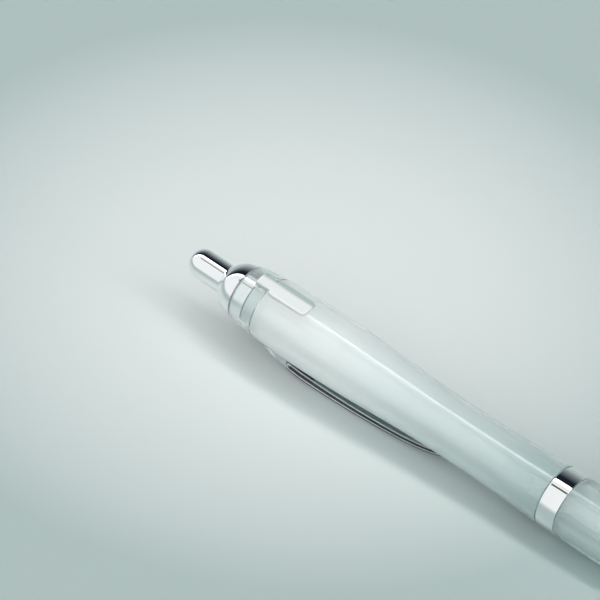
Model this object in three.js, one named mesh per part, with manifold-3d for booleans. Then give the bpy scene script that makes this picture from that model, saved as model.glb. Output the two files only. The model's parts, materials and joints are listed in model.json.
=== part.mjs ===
// Clear push-button ballpoint pen, in millimetres.
// The pen is built along its own axis: +X towards the nib, +Z towards the label pad, -Z towards the clip,
// with x = 0 at the edge of the chrome dome. At the end it is tilted until it rests on its clip and its grip.
import * as THREE from "three";
import { mergeVertices } from "three/addons/utils/BufferGeometryUtils.js";
import Module from "manifold-3d";

const wasm = await Module();
wasm.setup();

// Gaps between pieces
const seam = 0.2; // between end faces that meet along the pen
const slide = 0.06; // radial play of what slides or turns
const press = 0.05; // radial gap of what is pressed together
const past = 1; // how far a cut, or what is cut off, runs past the face that is left

// Facets round the axis
const shellSides = 40;
const innerSides = 24;
const smallSides = 16;

// Push button
const buttonRadius = 2.95;
const buttonWall = 0.5;
const buttonProtrusion = 8.75;
const buttonLipHeight = 0.4;
const buttonLipLength = 0.8;
const stroke = 6;
const latchedStroke = 5;

// Chrome dome and its sleeve
const domeLength = 4.3;
const domeRadius = 5.35;
const domeFullness = 2.3;
const domeLipHeight = 0.35;
const domeWall = 1.1;
const sleeveRadius = 4.85;
const sleeveLength = 3;
const collarBore = 3.45;

// Cam guide
const guideHeadStart = 0.5;
const guideHeadEnd = 6;
const guideHeadRadius = 4.05;
const guideRadius = 3;
const guideBore = 2.45;
const guideRibBore = 1.9;
const guideRibAngle = 40;
const guideSpare = 1; // past the rotor's ribs at full stroke
const indexRibs = 4;

// Thrust cam and rotor
const stemRadius = 2.32;
const stemShoulder = 0.7; // back from the guide's floor at rest
const camRadius = 1.82;
const camBore = 1.1;
const camBoreDepth = 4;
const splineLength = 2;
const splineAngle = 30;
const splineRoot = 0.3; // how deep splines and ribs are set into their stem
const toothDepth = 0.6;
const rotorRibLength = 3;
const rotorSlant = 0.5;
const rotorSkirtRadius = 2.2;
const rotorSkirtLength = 2.5;
const rotorSocketDepth = 2.2;

// Outer line of clip ring and upper barrel: shoulder, belly, waist and front end
const shoulderRadius = 5.58;
const shoulderFullness = 2.5;
const bellyRadius = 6.55;
const bellyPlace = 17.5;
const waistRadius = 5.55;
const waistPlace = 50;
const upperEndRadius = 6.12;
const upperFlare = 2;
const upperEnd = 73.3;

// Inside of the upper barrel
const barrelStart = 6;
const neckBackWall = 0.75;
const barrelBore = 4.5;
const ledgeBore = 3.3;
const ledgeLength = 1;
const threadWall = 1.16; // wall of the barrel round the thread
const threadLength = 9;

// Label pad, bare, and its key in the notch of the clip's ring
const padTop = 6.85;
const padHalfWidth = 2;
const padEnd = 15.2;
const padCorner = 0.5;
const padShoulder = 1.2;
const padShoulderBend = 0.26;
const keyHalfWidth = 1.2;
const keyPlay = 0.15;

// Clip
const clipHalfWidth = 3.1;
const clipTipHalfWidth = 2.3;
const clipTipTaper = 12;
const clipThickness = 1.25;
const clipTipThickness = 0.9;
const clipReach = 10.2;
const clipBellyPlace = 18.5;
const clipRootStart = 4.6;
const clipRootDepth = 0.27; // outer face below the ring's surface where the arm starts
const clipRiseBend = 2.5;
const clipFallBend = 2;
const clipSlotStart = 12.5;
const clipSlotRound = 0.8;
const clipEnd = 50.5;
const clipTipGap = 0.12;
const clipEdge = 0.3;
const clipClearance = 0.25;

// Centre ring
const ringLength = 4;
const ringStep = 0.02; // below the barrel's end
const ringCrown = 0.06;
const ringEdge = 0.25;

// Lower barrel, whose spigot screws into the upper one
const spigotWall = 1.05;
const lowerLength = 35.3;
const swellRadius = 6.2;
const swellDistance = 8.3; // from the barrel's start
const lowerEndRadius = 5.1;
const lowerTaper = 1.8;
const gripFromEnd = 19;
const gripPitch = 2.6;
const gripRings = 5;
const gripHeight = 0.28;
const gripRingLength = 1.5;
const gripRingSlope = 0.35;
const frontSpigotRadius = 4.2;
const frontSpigotLength = 5;
const frontSpigotBore = 3.4;

// Nose cone
const noseLength = 15.8;
const noseTipRadius = 1.75;
const noseTipEdge = 0.25;
const noseBulge = 0.55;
const noseBore = 2.45;
const noseHole = 1.3;
const noseTipLength = 3.8; // from the spring's seat to the end

// Refill
const refillRadius = 1.5;
const refillBore = 1.02;
const inkBack = 13.2; // from the tube's open end to the ink
const holderLength = 16.1;
const holderSpigot = 4;
const holderCollarRadius = 2.1;
const holderCollarLength = 1;
const holderRadius = 1.25;
const inkChannel = 0.3;
const feedRadius = 0.15;
const feedLength = 0.8;
const nibLength = 8.9; // from the holder to the ball's centre
const nibRest = 2.6; // ball's centre inside the nose when the nib is in
const nibRadius = 1.12;
const nibShank = 0.75;
const nibShankLength = 3;
const nibLipWall = 0.06;
const seatMouth = 0.26; // radius at which the ball's seat opens to the feed
const nibConeLength = 2.6;
const ballRadius = 0.5;
const ballPlay = 0.05;
const ballShown = 0.3;

// Return spring
const wireRadius = 0.2;
const coilRadius = 1.85;
const springTurns = 13;
const endTurnPitch = 0.95;
const curlSteps = 8;
const wireSides = 5;

// Places that follow from the sizes above
const buttonTip = -domeLength - buttonProtrusion;
const buttonEnd = -domeLength + domeWall + seam + buttonLipLength;
const buttonBore = buttonRadius - buttonWall;
const tipCentre = buttonTip + buttonRadius;
const guideFloor = buttonEnd + stroke + 2 * seam;
const stemEnd = guideFloor - stemShoulder;
const guideRibStart = stemEnd + stroke + seam;
const camTeeth = guideRibStart + splineLength + toothDepth;
const rotorTop = camTeeth + seam;
const rotorRibStart = rotorTop + toothDepth;
const guideRibEnd = rotorRibStart + latchedStroke;
const rotorSkirtStart = guideRibEnd + seam;
const rotorEnd = rotorSkirtStart + rotorSkirtLength;
const refillStart = rotorEnd - rotorSocketDepth + seam;
const guideEnd = rotorRibStart + rotorRibLength + stroke + guideSpare;
const threadRadius = upperEndRadius - threadWall - slide;
const lowerBore = threadRadius - spigotWall;
const ringRadius = upperEndRadius - ringStep;
const lowerStartRadius = ringRadius;
const ringStart = upperEnd + seam;
const lowerStart = ringStart + ringLength + seam;
const swellPlace = lowerStart + swellDistance;
const lowerEnd = lowerStart + lowerLength;
const gripStart = lowerEnd - gripFromEnd;
const noseStart = lowerEnd + seam;
const noseEnd = noseStart + noseLength;
const springSeat = noseEnd - noseTipLength;
const ballPlace = noseEnd - nibRest;
const holderEnd = ballPlace - nibLength;
const refillEnd = holderEnd - holderLength;
const inkStart = refillStart + inkBack;
const holderCollarStart = refillEnd + seam;
const springBack = holderCollarStart + holderCollarLength + seam + wireRadius;
const springFront = springSeat - seam - wireRadius;

const ease = (from, to, share) => from + ((to - from) * (1 - Math.cos(Math.PI * share))) / 2;
const evenly = (count) => Array.from({ length: count }, (_, n) => (360 / count) * n);
const stepsOf = (from, to, count) => Array.from({ length: count + 1 }, (_, n) => from + ((to - from) * n) / count);

// A quarter of an ellipse that rises from radius low at x = middle - length to low + height at x = middle
const quarter = (middle, low, length, height, count) =>
  stepsOf(0, Math.PI / 2, count).map((angle) => [middle - length * Math.cos(angle), low + height * Math.sin(angle)]);

// Outlines, as radius at a place along the pen

function domeOutline(lip, count) {
  const rise = domeRadius - lip;
  return stepsOf(1, 0, count).map((share) => [-domeLength * share, domeRadius - rise * share ** domeFullness]);
}

function upperRadius(x) {
  if (x < bellyPlace)
    return bellyRadius - (bellyRadius - shoulderRadius) * (1 - x / bellyPlace) ** shoulderFullness;
  if (x < waistPlace) return ease(bellyRadius, waistRadius, (x - bellyPlace) / (waistPlace - bellyPlace));
  const share = (x - waistPlace) / (upperEnd - waistPlace);
  return waistRadius + (upperEndRadius - waistRadius) * share ** upperFlare;
}

function lowerRadius(x) {
  if (x < swellPlace) return ease(lowerStartRadius, swellRadius, (x - lowerStart) / (swellPlace - lowerStart));
  const share = (x - swellPlace) / (lowerEnd - swellPlace);
  return swellRadius - (swellRadius - lowerEndRadius) * share ** lowerTaper;
}

function noseRadius(x) {
  const share = (x - noseStart) / (noseEnd - noseStart);
  return lowerEndRadius + (noseTipRadius - lowerEndRadius) * share + 4 * noseBulge * share * (1 - share);
}

const upperOutline = (from, to, count, extra = 0) =>
  stepsOf(from, to, count).map((x) => [x, upperRadius(x) + extra]);

function gripOutline() {
  const outline = [];
  for (let ring = 0; ring < gripRings; ring++) {
    const start = gripStart + ring * gripPitch;
    const end = start + gripRingLength;
    outline.push([start, lowerRadius(start)]);
    outline.push([start + gripRingSlope, lowerRadius(start) + gripHeight]);
    outline.push([end - gripRingSlope, lowerRadius(end) + gripHeight]);
    outline.push([end, lowerRadius(end)]);
  }
  return outline;
}

const lowerOutline = () => [
  ...stepsOf(lowerStart, swellPlace, 4).map((x) => [x, lowerRadius(x)]),
  ...stepsOf(swellPlace, gripStart, 3).slice(1, -1).map((x) => [x, lowerRadius(x)]),
  ...gripOutline(),
  [lowerEnd, lowerEndRadius],
];

const noseOutline = () => stepsOf(noseStart, noseEnd - noseTipEdge, 8).map((x) => [x, noseRadius(x)]);

// Outer face of the clip's arm: steep at the root, level at the belly, then falling to the tip
const clipRootReach = upperRadius(clipRootStart) - clipRootDepth;
const clipTipReach = upperRadius(clipEnd) + clipTipGap + clipTipThickness;
function clipOuter(x) {
  if (x < clipBellyPlace) {
    const share = (clipBellyPlace - x) / (clipBellyPlace - clipRootStart);
    return clipReach - (clipReach - clipRootReach) * share ** clipRiseBend;
  }
  const share = (x - clipBellyPlace) / (clipEnd - clipBellyPlace);
  return clipReach - (clipReach - clipTipReach) * share ** clipFallBend;
}
const clipWall = (x) =>
  clipThickness + ((clipTipThickness - clipThickness) * Math.max(0, x - clipBellyPlace)) / (clipEnd - clipBellyPlace);
const clipOuterLine = () => [
  ...stepsOf(clipRootStart, clipBellyPlace, 8),
  ...stepsOf(clipBellyPlace, clipEnd, 12).slice(1),
].map((x) => [x, clipOuter(x)]);

// Solids

function solidOf(geometry) {
  geometry.deleteAttribute("normal");
  geometry.deleteAttribute("uv");
  const merged = mergeVertices(geometry, 1e-5);
  return new wasm.Manifold(
    new wasm.Mesh({
      numProp: 3,
      vertProperties: merged.attributes.position.array,
      triVerts: new Uint32Array(merged.index.array),
    }),
  );
}

function geometryOf(solid) {
  const mesh = solid.getMesh();
  const geometry = new THREE.BufferGeometry();
  geometry.setAttribute("position", new THREE.BufferAttribute(mesh.vertProperties, 3));
  geometry.setIndex(new THREE.BufferAttribute(mesh.triVerts, 1));
  geometry.computeVertexNormals();
  return geometry;
}

// An outline of [x, radius] points turned round the pen's axis; it closes on itself unless both ends lie on the axis
function turned(outline, sides) {
  const points = outline.map(([x, radius]) => new THREE.Vector2(radius, x));
  if (THREE.ShapeUtils.area(points) < 0) points.reverse();
  if (points[0].x > 0 || points[points.length - 1].x > 0) points.push(points[0].clone());
  return solidOf(new THREE.LatheGeometry(points, sides).rotateZ(-Math.PI / 2));
}

function shapeOf(points) {
  return new THREE.Shape(points.map(([x, y]) => new THREE.Vector2(x, y)));
}

// A plate outlined by [x, distance below the axis], 2 halfWidth wide along Y, its long edges eased by edge
function sidePlate(points, halfWidth, edge) {
  const geometry = new THREE.ExtrudeGeometry(shapeOf(points), {
    depth: 2 * (halfWidth - edge),
    bevelSize: edge,
    bevelThickness: edge,
    bevelOffset: -edge,
    bevelSegments: 2,
  });
  return solidOf(geometry.translate(0, 0, edge - halfWidth).rotateX(-Math.PI / 2));
}

// A plate outlined in the X-Y plane, from z = low to z = high
function planPlate(shape, low, high) {
  const geometry = new THREE.ExtrudeGeometry(shape, {
    depth: high - low,
    bevelEnabled: false,
    curveSegments: 8,
  });
  return solidOf(geometry.translate(0, 0, low));
}

function block(fromX, toX, halfWidth, low, high) {
  const geometry = new THREE.BoxGeometry(toX - fromX, 2 * halfWidth, high - low);
  return solidOf(geometry.translate((fromX + toX) / 2, 0, (low + high) / 2));
}

// A stretch of sleeve round the axis, whose end faces follow fromX and toX; 360 degrees wide it closes on itself
function sector({ inner, outer, fromX, toX, middle, width, steps }) {
  const positions = [];
  const index = [];
  const closed = width === 360;
  const rings = closed ? steps : steps + 1;
  for (let ring = 0; ring < rings; ring++) {
    const share = ring / steps;
    const angle = THREE.MathUtils.degToRad(middle + (share - 0.5) * width);
    const corners = [
      [fromX(share), inner],
      [fromX(share), outer],
      [toX(share), outer],
      [toX(share), inner],
    ];
    for (const [x, radius] of corners)
      positions.push(x, radius * Math.cos(angle), radius * Math.sin(angle));
  }
  for (let ring = 0; ring < steps; ring++)
    for (let side = 0; side < 4; side++) {
      const a = 4 * ring + side;
      const b = 4 * ring + ((side + 1) % 4);
      const nextA = (a + 4) % (4 * rings);
      const nextB = (b + 4) % (4 * rings);
      index.push(a, nextA, b, b, nextA, nextB);
    }
  const end = 4 * steps;
  if (!closed) index.push(0, 1, 2, 0, 2, 3, end, end + 2, end + 1, end, end + 3, end + 2);
  const geometry = new THREE.BufferGeometry();
  geometry.setAttribute("position", new THREE.Float32BufferAttribute(positions, 3));
  geometry.setIndex(index);
  return solidOf(geometry);
}

const joined = (first, ...others) => others.reduce((whole, other) => whole.add(other), first);

// Push button and mechanism

function pushButton() {
  const outline = [
    ...quarter(tipCentre, 0, buttonRadius, buttonRadius, 9),
    [buttonEnd - buttonLipLength, buttonRadius],
    [buttonEnd - buttonLipLength, buttonRadius + buttonLipHeight],
    [buttonEnd, buttonRadius + buttonLipHeight],
    [buttonEnd, buttonBore],
    [tipCentre, buttonBore],
    [tipCentre, 0],
  ];
  return turned(outline, shellSides);
}

function topCollar() {
  const mouth = buttonRadius + slide;
  const lip = buttonRadius + domeLipHeight;
  const outline = [
    [-domeLength, mouth],
    ...domeOutline(lip, 8),
    [0, sleeveRadius],
    [sleeveLength, sleeveRadius],
    [sleeveLength, guideHeadRadius + press],
    [guideHeadStart - seam, guideHeadRadius + press],
    [guideHeadStart - seam, collarBore],
    [domeWall - domeLength, collarBore],
    [domeWall - domeLength, mouth],
  ];
  return turned(outline, shellSides);
}

function camGuide() {
  const shell = turned(
    [
      [guideHeadStart, guideHeadRadius],
      [guideHeadEnd, guideHeadRadius],
      [guideHeadEnd, guideRadius],
      [guideEnd, guideRadius],
      [guideEnd, guideBore],
      [guideFloor, guideBore],
      [guideFloor, collarBore],
      [guideHeadStart, collarBore],
    ],
    innerSides,
  );
  const ribs = evenly(indexRibs).map((middle) =>
    sector({
      inner: guideRibBore,
      outer: (guideBore + guideRadius) / 2,
      fromX: () => guideRibStart,
      toX: (share) => guideRibEnd - rotorSlant * share,
      middle,
      width: guideRibAngle,
      steps: 3,
    }),
  );
  return joined(shell, ...ribs);
}

const betweenRibs = (middle) => middle + 180 / indexRibs;

// Height of the V teeth on thrust cam and rotor, a pair of teeth to each rib
function toothHeight(share) {
  const phase = (share * 2 * indexRibs) % 1;
  return toothDepth * (1 - Math.abs(2 * phase - 1));
}

function thrustCam() {
  const stemTop = tipCentre + seam;
  const splineEnd = camTeeth - 2 * toothDepth;
  const stem = turned(
    [
      [stemTop, 0],
      [stemTop, buttonBore - press],
      [buttonEnd, buttonBore - press],
      [buttonEnd, stemRadius],
      [stemEnd, stemRadius],
      [stemEnd, camRadius],
      [splineEnd, camRadius],
      [splineEnd, camBore],
      [camTeeth - camBoreDepth, camBore],
      [camTeeth - camBoreDepth, 0],
    ],
    innerSides,
  );
  const crown = sector({
    inner: camBore + slide,
    outer: camRadius - slide,
    fromX: () => splineEnd - toothDepth,
    toX: (share) => camTeeth - toothHeight(share),
    middle: 0,
    width: 360,
    steps: innerSides,
  });
  const splines = evenly(indexRibs).map((middle) =>
    sector({
      inner: camRadius - splineRoot,
      outer: stemRadius,
      fromX: () => splineEnd - splineLength,
      toX: () => splineEnd,
      middle: betweenRibs(middle),
      width: splineAngle,
      steps: 3,
    }),
  );
  return joined(stem, crown, ...splines);
}

function rotor() {
  const pilot = camBore - 2 * slide;
  const body = turned(
    [
      [camTeeth - camBoreDepth + 2 * seam, 0],
      [camTeeth - camBoreDepth + 2 * seam, pilot],
      [rotorRibStart, pilot],
      [rotorRibStart, camRadius],
      [rotorSkirtStart, camRadius],
      [rotorSkirtStart, rotorSkirtRadius],
      [rotorEnd, rotorSkirtRadius],
      [rotorEnd, refillRadius + press],
      [rotorEnd - rotorSocketDepth, refillRadius + press],
      [rotorEnd - rotorSocketDepth, 0],
    ],
    innerSides,
  );
  const crown = sector({
    inner: pilot - slide,
    outer: camRadius - slide,
    fromX: (share) => rotorTop - toothHeight(share),
    toX: () => rotorRibStart + seam,
    middle: 0,
    width: 360,
    steps: innerSides,
  });
  const ribs = evenly(indexRibs).map((middle) =>
    sector({
      inner: camRadius - splineRoot,
      outer: stemRadius,
      fromX: (share) => rotorRibStart + rotorSlant * (1 - share),
      toX: () => rotorRibStart + rotorRibLength,
      middle: betweenRibs(middle),
      width: splineAngle,
      steps: 3,
    }),
  );
  return joined(body, crown, ...ribs);
}

// Clip

function clip() {
  const bore = sleeveRadius + 2 * press;
  const ringEnd = barrelStart - seam;
  const ring = turned(
    [...upperOutline(seam, ringEnd, 5), [ringEnd, bore], [seam, bore]],
    shellSides,
  );
  const inside = (x) => clipOuter(x) - clipWall(x);
  const slotTop = clipSlotStart + clipSlotRound;
  const armSide = [
    ...clipOuterLine(),
    ...stepsOf(clipEnd, clipBellyPlace, 12).map((x) => [x, inside(x)]),
    ...stepsOf(clipBellyPlace, slotTop, 3).slice(1).map((x) => [x, inside(x)]),
    ...stepsOf(Math.PI / 2, 0, 3).slice(1).map((angle) => [
      slotTop - clipSlotRound * Math.cos(angle),
      inside(slotTop) - clipSlotRound * (1 - Math.sin(angle)),
    ]),
    [clipSlotStart, bore - past],
    [clipRootStart, bore - past],
  ];
  const plan = new THREE.Shape();
  plan.moveTo(0, -clipHalfWidth - past);
  plan.lineTo(clipEnd - clipTipTaper, -clipHalfWidth);
  plan.bezierCurveTo(clipEnd, -clipTipHalfWidth, clipEnd, -clipTipHalfWidth, clipEnd, 0);
  plan.bezierCurveTo(clipEnd, clipTipHalfWidth, clipEnd, clipTipHalfWidth, clipEnd - clipTipTaper, clipHalfWidth);
  plan.lineTo(0, clipHalfWidth + past);
  const arm = sidePlate(armSide, clipHalfWidth, clipEdge).intersect(planPlate(plan, -clipReach - past, 0));
  const barrelRoom = turned(
    [
      [ringEnd, 0],
      [ringEnd, upperRadius(barrelStart) + clipClearance],
      ...upperOutline(barrelStart, slotTop, 6, clipClearance),
      [slotTop, 0],
    ],
    shellSides,
  );
  const sleeveRoom = turned([[-past, 0], [-past, bore], [ringEnd + seam, bore], [ringEnd + seam, 0]], shellSides);
  const notch = block(sleeveLength, barrelStart + past, keyHalfWidth + keyPlay, 0, padTop + past);
  return joined(ring, arm).subtract(barrelRoom).subtract(sleeveRoom).subtract(notch);
}

// Barrels

function labelPad(bottom) {
  const start = barrelStart + seam;
  const shoulder = start + padShoulder;
  const outline = new THREE.Shape();
  outline.moveTo(start, -keyHalfWidth);
  outline.quadraticCurveTo(start + padShoulderBend, -padHalfWidth, shoulder, -padHalfWidth);
  outline.lineTo(padEnd - padCorner, -padHalfWidth);
  outline.quadraticCurveTo(padEnd, -padHalfWidth, padEnd, padCorner - padHalfWidth);
  outline.lineTo(padEnd, padHalfWidth - padCorner);
  outline.quadraticCurveTo(padEnd, padHalfWidth, padEnd - padCorner, padHalfWidth);
  outline.lineTo(shoulder, padHalfWidth);
  outline.quadraticCurveTo(start + padShoulderBend, padHalfWidth, start, keyHalfWidth);
  return planPlate(outline, bottom, padTop);
}

function upperBarrel() {
  const neckStart = sleeveLength + seam;
  const neckBore = guideHeadRadius + press;
  const ledge = guideHeadEnd + seam;
  const threadBore = threadRadius + slide;
  const threadStart = upperEnd - threadLength - 2 * seam;
  const shell = turned(
    [
      [neckStart, neckBore],
      [neckStart, neckBore + neckBackWall],
      [barrelStart, neckBore + neckBackWall],
      ...upperOutline(barrelStart, bellyPlace, 5),
      ...upperOutline(bellyPlace, waistPlace, 9).slice(1),
      ...upperOutline(waistPlace, upperEnd, 7).slice(1),
      [upperEnd, threadBore],
      [threadStart, threadBore],
      [threadStart, barrelBore],
      [ledge + ledgeLength, barrelBore],
      [ledge + ledgeLength, ledgeBore],
      [ledge, ledgeBore],
      [ledge, neckBore],
    ],
    shellSides,
  );
  const insideWall = (neckBore + neckBackWall + barrelBore) / 2;
  const key = block(neckStart, barrelStart + padShoulder, keyHalfWidth, insideWall, padTop);
  return joined(shell, labelPad(insideWall), key);
}

function centreRing() {
  const end = ringStart + ringLength;
  const outline = [
    [ringStart, ringRadius - ringEdge],
    [ringStart + ringEdge, ringRadius],
    [ringStart + ringLength / 2, ringRadius + ringCrown],
    [end - ringEdge, ringRadius],
    [end, ringRadius - ringEdge],
    [end, threadRadius + slide],
    [ringStart, threadRadius + slide],
  ];
  return turned(outline, shellSides);
}

function lowerBarrel() {
  const spigotStart = upperEnd - threadLength;
  const boreStep = lowerEnd - frontSpigotLength;
  const spigotEnd = lowerEnd + frontSpigotLength;
  const outline = [
    [spigotStart, lowerBore],
    [spigotStart, threadRadius],
    [lowerStart, threadRadius],
    ...lowerOutline(),
    [lowerEnd, frontSpigotRadius],
    [spigotEnd, frontSpigotRadius],
    [spigotEnd, frontSpigotBore],
    [boreStep, frontSpigotBore],
    [boreStep, lowerBore],
  ];
  return turned(outline, shellSides);
}

function noseCone() {
  const spigotEnd = lowerEnd + frontSpigotLength + seam;
  const socket = frontSpigotRadius + press;
  const outline = [
    [noseStart, socket],
    ...noseOutline(),
    [noseEnd, noseTipRadius - noseTipEdge],
    [noseEnd, noseHole],
    [springSeat, noseHole],
    [springSeat, noseBore],
    [spigotEnd, noseBore],
    [spigotEnd, socket],
  ];
  return turned(outline, shellSides);
}

// Refill

const refillTube = () =>
  turned(
    [
      [refillStart, refillBore],
      [refillStart, refillRadius],
      [refillEnd, refillRadius],
      [refillEnd, refillBore],
    ],
    innerSides,
  );

function inkColumn() {
  const radius = refillBore - press;
  const end = refillEnd - holderSpigot - seam;
  return turned([[inkStart, 0], [inkStart, radius], [end, radius], [end, 0]], smallSides);
}

function tipHolder() {
  const spigotStart = refillEnd - holderSpigot;
  const collarEnd = holderCollarStart + holderCollarLength;
  const socketStart = holderEnd - nibShankLength - seam;
  const outline = [
    [spigotStart, inkChannel],
    [spigotStart, refillBore - press],
    [holderCollarStart, refillBore - press],
    [holderCollarStart, holderCollarRadius],
    [collarEnd, holderCollarRadius],
    [collarEnd, holderRadius],
    [holderEnd, holderRadius],
    [holderEnd, nibShank + press],
    [socketStart, nibShank + press],
    [socketStart, inkChannel],
  ];
  return turned(outline, innerSides);
}

// The ball's seat is a round cavity, whose lip keeps the ball in
function nib() {
  const seat = ballRadius + ballPlay;
  const lipPlace = ballPlace + ballRadius - ballShown;
  const coneStart = lipPlace - nibConeLength;
  const lipAngle = Math.acos((lipPlace - ballPlace) / seat);
  const feedAngle = Math.PI - Math.asin(seatMouth / seat);
  const cavity = stepsOf(lipAngle, feedAngle, 6).map((angle) => [
    ballPlace + seat * Math.cos(angle),
    seat * Math.sin(angle),
  ]);
  const feedStart = cavity[cavity.length - 1][0] - feedLength;
  const outline = [
    [holderEnd - nibShankLength, inkChannel],
    [holderEnd - nibShankLength, nibShank],
    [holderEnd + seam, nibShank],
    [holderEnd + seam, nibRadius],
    [coneStart, nibRadius],
    [lipPlace, cavity[0][1] + nibLipWall],
    ...cavity,
    [feedStart + feedLength - seam, feedRadius],
    [feedStart, feedRadius],
    [feedStart - seam, inkChannel],
  ];
  return turned(outline, smallSides);
}

const nibBall = () => solidOf(new THREE.SphereGeometry(ballRadius, 14, 8).translate(ballPlace, 0, 0));

// Return spring: one unbroken wire, its first and last turns drawn closer

function springPoint(turn) {
  const openTurns = springTurns - 2;
  const openPitch = (springFront - springBack - 2 * endTurnPitch) / openTurns;
  const along =
    Math.min(turn, 1) * endTurnPitch +
    Math.min(Math.max(turn - 1, 0), openTurns) * openPitch +
    Math.max(turn - 1 - openTurns, 0) * endTurnPitch;
  const angle = 2 * Math.PI * turn;
  return new THREE.Vector3(springBack + along, coilRadius * Math.cos(angle), coilRadius * Math.sin(angle));
}

function springCentres() {
  const centres = stepsOf(0, springTurns, springTurns * curlSteps).map(springPoint);
  const straight = (from, towards) => from.clone().add(from.clone().sub(towards).setLength(2 * wireRadius));
  const last = centres.length - 1;
  return [straight(centres[0], centres[1]), ...centres, straight(centres[last], centres[last - 1])];
}

function leastSpringGap(centres) {
  let least = Infinity;
  for (let a = 0; a < centres.length; a++)
    for (let b = a + curlSteps / 2; b < centres.length; b++)
      least = Math.min(least, centres[a].distanceTo(centres[b]) - 2 * wireRadius);
  return least;
}

function returnSpring() {
  const centres = springCentres();
  console.log("least gap of the spring to itself: " + leastSpringGap(centres).toFixed(2) + " mm");
  const positions = [];
  const index = [];
  centres.forEach((centre, n) => {
    const along = centres[Math.min(n + 1, centres.length - 1)].clone().sub(centres[Math.max(n - 1, 0)]).normalize();
    const outward = new THREE.Vector3(0, centre.y, centre.z).normalize();
    outward.addScaledVector(along, -outward.dot(along)).normalize();
    const sideways = along.clone().cross(outward);
    for (let side = 0; side < wireSides; side++) {
      const angle = (2 * Math.PI * side) / wireSides;
      const point = centre.clone().addScaledVector(outward, wireRadius * Math.cos(angle));
      point.addScaledVector(sideways, wireRadius * Math.sin(angle));
      positions.push(...point.toArray());
    }
  });
  const rings = centres.length;
  for (let ring = 0; ring < rings - 1; ring++)
    for (let side = 0; side < wireSides; side++) {
      const a = ring * wireSides + side;
      const b = ring * wireSides + ((side + 1) % wireSides);
      index.push(a, b, a + wireSides, b, b + wireSides, a + wireSides);
    }
  const end = (rings - 1) * wireSides;
  for (let side = 1; side < wireSides - 1; side++) {
    index.push(0, side + 1, side);
    index.push(end, end + side, end + side + 1);
  }
  const geometry = new THREE.BufferGeometry();
  geometry.setAttribute("position", new THREE.Float32BufferAttribute(positions, 3));
  geometry.setIndex(index);
  return solidOf(geometry);
}

// Tilt at which the clip's belly and the front of the pen touch the same level surface
function restPitch() {
  const front = [...lowerOutline(), ...noseOutline()];
  const lowest = (line, pitch) =>
    Math.min(...line.map(([x, radius]) => -x * Math.sin(pitch) - radius * Math.cos(pitch)));
  let low = 0;
  let high = 0.3;
  for (let round = 0; round < 50; round++) {
    const pitch = (low + high) / 2;
    if (lowest(front, pitch) > lowest(clipOuterLine(), pitch)) low = pitch;
    else high = pitch;
  }
  return low;
}

// The pen

const chrome = { color: 0xe4e6e7, roughness: 0.06, metalness: 1 };
const clearPlastic = { color: 0xdce6e4, roughness: 0.08, metalness: 0, transparent: true, opacity: 0.4 };
const whitePlastic = { color: 0xeef0ee, roughness: 0.45, metalness: 0 };
const milkyPlastic = { color: 0xe6e9e6, roughness: 0.35, metalness: 0 };
const ink = { color: 0x14203c, roughness: 0.3, metalness: 0 };
const nickel = { color: 0xc9c4b4, roughness: 0.2, metalness: 1 };
const steel = { color: 0xc4c7c9, roughness: 0.18, metalness: 1 };

const pen = new THREE.Group();

function add(name, solid, finish) {
  const mesh = new THREE.Mesh(geometryOf(solid), new THREE.MeshStandardMaterial(finish));
  mesh.name = name;
  pen.add(mesh);
}

add("push_button", pushButton(), chrome);
add("top_collar", topCollar(), chrome);
add("cam_guide", camGuide(), milkyPlastic);
add("thrust_cam", thrustCam(), whitePlastic);
add("rotor", rotor(), whitePlastic);
add("clip", clip(), clearPlastic);
add("upper_barrel", upperBarrel(), clearPlastic);
add("centre_ring", centreRing(), chrome);
add("lower_barrel", lowerBarrel(), clearPlastic);
add("nose_cone", noseCone(), chrome);
add("refill_tube", refillTube(), whitePlastic);
add("ink_column", inkColumn(), ink);
add("tip_holder", tipHolder(), whitePlastic);
add("nib", nib(), nickel);
add("nib_ball", nibBall(), steel);
add("return_spring", returnSpring(), steel);

// Resting on the ground, with the middle of its outline over the origin
pen.rotation.y = restPitch();
pen.updateMatrixWorld(true);
const bounds = new THREE.Box3().setFromObject(pen, true);
pen.position.set(-(bounds.min.x + bounds.max.x) / 2, 0, -bounds.min.z);

const model = new THREE.Group();
model.add(pen);
export default model;
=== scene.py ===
import json
import math
import bmesh
import bpy
from mathutils import Matrix, Vector


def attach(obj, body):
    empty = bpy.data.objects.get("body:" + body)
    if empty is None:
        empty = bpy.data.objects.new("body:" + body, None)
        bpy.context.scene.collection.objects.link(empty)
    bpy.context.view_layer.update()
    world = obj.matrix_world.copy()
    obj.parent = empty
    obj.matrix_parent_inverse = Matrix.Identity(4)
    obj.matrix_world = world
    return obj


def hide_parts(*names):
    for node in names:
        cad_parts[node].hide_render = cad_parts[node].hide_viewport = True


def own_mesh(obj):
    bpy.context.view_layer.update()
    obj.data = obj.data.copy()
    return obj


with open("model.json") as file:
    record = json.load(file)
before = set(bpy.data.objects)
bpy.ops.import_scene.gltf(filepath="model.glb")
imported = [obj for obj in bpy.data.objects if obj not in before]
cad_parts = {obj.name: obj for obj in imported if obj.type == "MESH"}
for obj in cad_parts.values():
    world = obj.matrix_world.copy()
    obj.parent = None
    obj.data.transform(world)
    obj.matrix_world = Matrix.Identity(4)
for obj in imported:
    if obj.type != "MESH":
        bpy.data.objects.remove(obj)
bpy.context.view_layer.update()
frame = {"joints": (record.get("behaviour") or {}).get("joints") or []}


def frameOf(place, first, second, third):
    # The three directions are where its x, y and z axes point
    return Matrix.Translation(place) @ Matrix((first, second, third)).transposed().to_4x4()


def linked(name, data):
    thing = bpy.data.objects.new(name, data)
    bpy.context.scene.collection.objects.link(thing)
    return thing


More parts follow.
